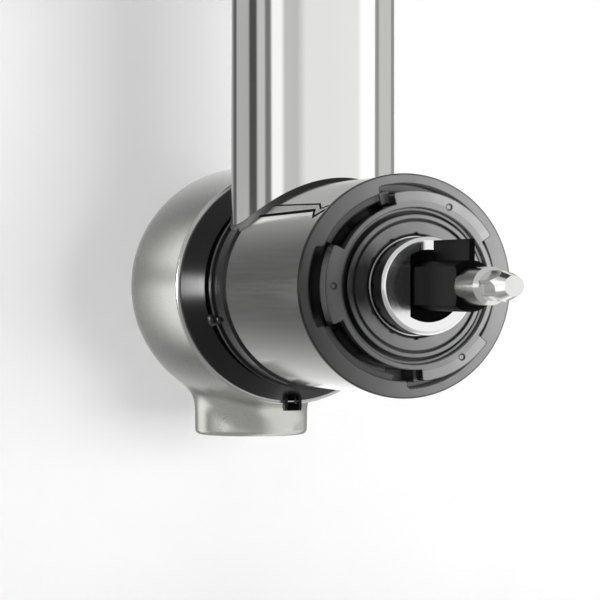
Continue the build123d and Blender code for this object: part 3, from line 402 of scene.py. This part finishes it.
def drum_piece(name, corners, faces, finish):
    """Piece that is fixed to the drum."""
    piece = mesh_object(name, corners, faces, MATERIALS[finish])
    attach(piece, "drum")


# ================================================================================================
# Lap seam of the drum's sleeve
# ================================================================================================

# Corners of the two seam lines: station along the drum, and degrees round it.
SEAM_LIP = [(0.0210, 134.2), (0.0234, 134.6), (0.0289, 136.1), (0.0363, 132.2), (0.1018, 129.4)]
SEAM_STEP = [(0.0210, 137.6), (0.0229, 138.0), (0.0298, 141.7), (0.0355, 136.8), (0.1094, 137.6)]
BAND_LIFT = 0.00003
LINE_LIFT = 0.00006
LONGEST_STEP = 0.004


def divided(line):
    """Points along a seam line, with the angles in radians."""
    points = []
    for (start, first), (end, last) in zip(line, line[1:]):
        steps = max(2, int(abs(end - start) / LONGEST_STEP))
        for step in range(steps):
            share = step / steps
            points.append((start + (end - start) * share, math.radians(first + (last - first) * share)))
    points.append((line[-1][0], math.radians(line[-1][1])))
    return points


def angle_at(line, station):
    """Angle in degrees of a seam line at a station."""
    for (start, first), (end, last) in zip(line, line[1:]):
        if station <= end:
            return first + (last - first) * (station - start) / (end - start)
    return line[-1][1]


def seam_band(name, upper, lower):
    """Duller strip of the sleeve between two seam lines."""
    reach = SLEEVE_RADIUS + BAND_LIFT
    first, last = upper[0][0], upper[-1][0]
    rows, columns = 40, 4
    corners = []
    for row in range(rows + 1):
        station = first + (last - first) * row / rows
        start, end = angle_at(upper, station), angle_at(lower, station)
        for column in range(columns + 1):
            angle = math.radians(start + (end - start) * column / columns)
            corners.append((reach * math.cos(angle), station, reach * math.sin(angle)))
    faces = []
    for row in range(rows):
        for column in range(columns):
            corner = row * (columns + 1) + column
            faces.append((corner, corner + columns + 1, corner + columns + 2, corner + 1))
    drum_piece(name, corners, faces, "seam_steel")


def seam_line(name, line, width):
    """Thin dark strip along a seam line, a painted shadow of the seam's gap."""
    points = divided(line)
    reach = SLEEVE_RADIUS + LINE_LIFT
    corners = []
    for index, (station, angle) in enumerate(points):
        before = points[max(index - 1, 0)]
        after = points[min(index + 1, len(points) - 1)]
        along = Vector((after[0] - before[0], (after[1] - before[1]) * reach)).normalized()
        offset = Vector((-along.y, along.x)) * width / 2
        for side in (-1, 1):
            turn = angle + side * offset.y / reach
            corners.append((reach * math.cos(turn), station + side * offset.x, reach * math.sin(turn)))
    faces = [(2 * i, 2 * i + 1, 2 * i + 3, 2 * i + 2) for i in range(len(points) - 1)]
    drum_piece(name, corners, faces, "seam_painted_shadow")


seam_band("seam_band", SEAM_LIP, SEAM_STEP)
seam_line("seam_lip", SEAM_LIP, width=0.0009)
seam_line("seam_step", SEAM_STEP, width=0.0016)

# ================================================================================================
# Ledges in the drive flange's channel
# ================================================================================================

LEDGE_OUTER, LEDGE_INNER = 0.03805, 0.0354  # radii
LEDGE_FRONT, LEDGE_BACK = FLANGE_FACE + 0.0010, FLANGE_FACE + 0.0030
LEDGE_STEP = 2  # degrees


def ledge(name, first, last):
    """Flat step at the channel's outer wall between two angles in degrees."""
    steps = int((last - first) / LEDGE_STEP)
    front = ((LEDGE_OUTER, LEDGE_FRONT), (LEDGE_INNER, LEDGE_FRONT))
    back = ((LEDGE_INNER, LEDGE_BACK), (LEDGE_OUTER, LEDGE_BACK))
    corners = []
    for step in range(steps + 1):
        angle = math.radians(first + (last - first) * step / steps)
        for radius, station in front + back:
            corners.append((radius * math.cos(angle), station, radius * math.sin(angle)))
    faces = [(0, 1, 2, 3), tuple(4 * steps + corner for corner in (3, 2, 1, 0))]
    for step in range(steps):
        for corner in range(4):
            follow = (corner + 1) % 4
            faces.append((4 * step + corner, 4 * step + 4 + corner, 4 * step + 4 + follow, 4 * step + follow))
    drum_piece(name, corners, faces, "smoky_deep_painted_shade")


ledge("ledge_upper", 106, 152)
ledge("ledge_lower", 206, 262)

# ================================================================================================
# Light, backdrop and camera
# ================================================================================================

# What shiny faces mirror: degrees round the object from the camera's side, and how bright it is there.
PANELS = (
    (-180, 1.3), (-172, 0.78), (-158, 0.38), (-147, 0.12), (-140, 0.12), (-134, 0.50), (-104, 0.50),
    (-100, 0.09), (-88, 0.09), (-84, 0.65), (-73, 0.65), (-70, 0.22), (-63, 0.22), (-59, 1.15),
    (-46, 1.15), (-40, 0.64), (-22, 0.62), (-10, 0.95), (66, 0.98), (74, 1.3), (97, 1.3), (99, 0.35),
    (106, 0.35), (109, 0.65), (142, 0.65), (150, 0.30), (172, 0.38), (180, 1.3),
)
LOW_PANELS = ((20, 0.42), (60, 1.0))  # the same below the object, on the camera's side
CEILING_GREY = 0.62
BEYOND_GREY = 0.38  # straight behind the object
WORLD_GREY = 0.22  # what dull surfaces get

# Where each of them begins and where it is full. A direction 1 long goes its height upwards and its
# nearness towards the camera's side.
LOW_HEIGHT = (-0.04, -0.16)
CEILING_HEIGHT = (0.12, 0.24)
NEARNESS = (-0.75, -0.55)  # of the low panels and the ceiling
BEYOND_NEARNESS = (-0.95, -0.99)
BEYOND_HEIGHT = (0.10, 0.06)
SOFTBOX_HEIGHT = (0.5, 0.35)
SOFTBOX_HALF = (math.radians(20), math.radians(12))
SOFTBOX_TURN = math.radians(-122)
SOFTBOX_GREY = 1.25
SLIT_HEIGHT = 0.07  # a dark slit crosses the softbox
SLIT_HALF = (0.050, 0.062)

CARD_TARGET = Vector((-0.055, 0.155, 0.000))  # leftmost place of the collar, which mirrors the card
CARD_TURN = math.radians(-85)  # round the object from the camera's side
CARD_DISTANCE = 0.15
CARD_HALF = (0.045, 0.030)  # half the card's width and height
CARD_CORE = 0.4  # share of the card that is fully bright
CARD_GLOW = 38.0

FLOOR_Z = -0.20
WALL_DISTANCE = 0.19  # behind the object's middle
WALL_BEND = 0.08
SHEET_REACH = 3.0
SHEET_GLOW = 0.29


def studio_world():
    """White behind the object; what metal mirrors is a ring of bright and dark panels round it."""
    world = bpy.data.worlds.new("studio")
    bpy.context.scene.world = world
    tree = Tree(world)
    direction = tree.add("ShaderNodeTexCoord").outputs["Generated"]
    height = tree.parts(direction)["Z"]
    nearness = tree.dot(direction, -CAMERA_AIM)
    turn = tree.math("ARCTAN2", tree.dot(direction, SIDEWAYS), nearness)
    share = tree.math("MULTIPLY_ADD", turn, 1 / (2 * math.pi), 0.5)

    mirrored = tree.ramp(share, [((angle + 180) / 360, level) for angle, level in PANELS])
    steepness = tree.math("ABSOLUTE", height)
    beyond = tree.product(tree.smooth(nearness, *BEYOND_NEARNESS), tree.smooth(steepness, *BEYOND_HEIGHT))
    mirrored = tree.mix(beyond, mirrored, grey(BEYOND_GREY))

    near = tree.smooth(nearness, *NEARNESS)
    low = tree.ramp(share, [((angle + 180) / 360, level) for angle, level in LOW_PANELS])
    mirrored = tree.mix(tree.product(tree.smooth(height, *LOW_HEIGHT), near), mirrored, low)
    above = tree.product(tree.smooth(height, *CEILING_HEIGHT), near)
    mirrored = tree.mix(above, mirrored, grey(CEILING_GREY))

    slit = tree.smooth(tree.math("ABSOLUTE", tree.math("SUBTRACT", height, SLIT_HEIGHT)), *SLIT_HALF)
    tall = tree.smooth(steepness, *SOFTBOX_HEIGHT)
    wide = tree.smooth(tree.math("ABSOLUTE", tree.math("SUBTRACT", turn, SOFTBOX_TURN)), *SOFTBOX_HALF)
    mirrored = tree.mix(tree.product(slit, tall, wide), mirrored, grey(SOFTBOX_GREY))

    rays = tree.add("ShaderNodeLightPath").outputs
    lit = tree.mix(rays["Is Glossy Ray"], grey(WORLD_GREY), mirrored)
    seen = tree.mix(rays["Is Camera Ray"], lit, grey(1))
    light = tree.add("ShaderNodeBackground", {"Color": seen, "Strength": 1.0})
    tree.add("ShaderNodeOutputWorld", {"Surface": light.outputs[0]})


def glow_card():
    """Small bright card at the left, which only shiny faces see. It gives the black collar its highlight."""
    material = bpy.data.materials.new("glow_card")
    tree = Tree(material)
    paper = tree.ramp(tree.noise(8), zip(BROAD_RANGE, (0.96, 1.0)))
    spot = tree.parts(tree.own_place())
    soft = tree.product(*(
        tree.smooth(tree.math("ABSOLUTE", spot[axis]), half, half * CARD_CORE)
        for axis, half in zip("XZ", CARD_HALF)
    ))
    light = tree.add("ShaderNodeEmission", {"Color": paper, "Strength": tree.product(soft, CARD_GLOW)})
    tree.add("ShaderNodeOutputMaterial", {"Surface": light.outputs[0]})

    wide, tall = CARD_HALF
    corners = [(-wide, 0, -tall), (wide, 0, -tall), (wide, 0, tall), (-wide, 0, tall)]
    card = mesh_object("glow_card", corners, [(0, 1, 2, 3)], material)
    way = SIDEWAYS * math.sin(CARD_TURN) - CAMERA_AIM * math.cos(CARD_TURN)
    card.location = CARD_TARGET + way * CARD_DISTANCE
    card.rotation_mode = "QUATERNION"
    card.rotation_quaternion = way.to_track_quat("-Y", "Z")
    card.visible_camera = False
    card.visible_diffuse = False
    card.visible_shadow = False
    card.visible_transmission = False


def backdrop():
    """Pale floor that sweeps up into a wall behind the object. It can't be seen from behind."""
    material = bpy.data.materials.new("backdrop")
    tree = Tree(material)
    paper = tree.ramp(tree.noise(40), zip(BROAD_RANGE, (0.78, 0.80)))
    rays = tree.add("ShaderNodeLightPath").outputs
    glow = tree.product(rays["Is Camera Ray"], SHEET_GLOW)
    surface = tree.add(
        "ShaderNodeBsdfPrincipled",
        {"Base Color": paper, "Roughness": 0.9, "Emission Color": grey(1), "Emission Strength": glow},
    )
    clear = tree.add("ShaderNodeBsdfTransparent")
    behind = tree.add("ShaderNodeNewGeometry").outputs["Backfacing"]
    hidden = tree.math("MAXIMUM", behind, rays["Is Glossy Ray"])
    mixed = tree.add("ShaderNodeMixShader", {0: hidden, 1: surface.outputs[0], 2: clear.outputs[0]})
    tree.add("ShaderNodeOutputMaterial", {"Surface": mixed.outputs[0]})

    outline = [(-SHEET_REACH, FLOOR_Z)]
    steps = 12
    for step in range(steps + 1):
        angle = math.pi / 2 * step / steps
        along = WALL_DISTANCE - WALL_BEND + WALL_BEND * math.sin(angle)
        outline.append((along, FLOOR_Z + WALL_BEND - WALL_BEND * math.cos(angle)))
    outline.append((WALL_DISTANCE, SHEET_REACH))
    corners = []
    for along, height in outline:
        for side in (-SHEET_REACH, SHEET_REACH):
            corners.append(MIDDLE + CAMERA_AIM * along + SIDEWAYS * side + Vector((0, 0, height)))
    faces = [(2 * i, 2 * i + 1, 2 * i + 3, 2 * i + 2) for i in range(len(outline) - 1)]
    sheet = mesh_object("backdrop", corners, faces, material)
    for polygon in sheet.data.polygons:
        polygon.use_smooth = True


def area_light(name, nearer, right, up, size, power):
    """Soft square lamp that looks at the middle. It stands nearer to the camera, to the right and up."""
    lamp = bpy.data.lights.new(name, "AREA")
    lamp.size = size
    lamp.energy = power
    holder = bpy.data.objects.new(name, lamp)
    bpy.context.scene.collection.objects.link(holder)
    holder.visible_glossy = False  # the world's panels are what shiny faces mirror
    holder.location = MIDDLE - CAMERA_AIM * nearer + SIDEWAYS * right + Vector((0, 0, up))
    holder.rotation_mode = "QUATERNION"
    holder.rotation_quaternion = (MIDDLE - holder.location).to_track_quat("-Z", "Y")


def camera():
    """Camera at the photograph's place."""
    data = bpy.data.cameras.new("camera")
    data.lens = LENS
    data.sensor_width = SENSOR_WIDTH
    data.shift_y = SHIFT_Y
    data.clip_start = 0.01
    holder = bpy.data.objects.new("camera", data)
    bpy.context.scene.collection.objects.link(holder)
    holder.location = CAMERA_PLACE
    holder.rotation_mode = "QUATERNION"
    holder.rotation_quaternion = CAMERA_AIM.to_track_quat("-Z", "Y")
    bpy.context.scene.camera = holder


studio_world()
glow_card()
backdrop()
camera()
area_light("key", nearer=1.4, right=0.62, up=-0.05, size=0.48, power=18.5)
area_light("top", nearer=0.3, right=0, up=1.2, size=0.9, power=4)

bpy.context.scene.view_settings.view_transform = "Standard"
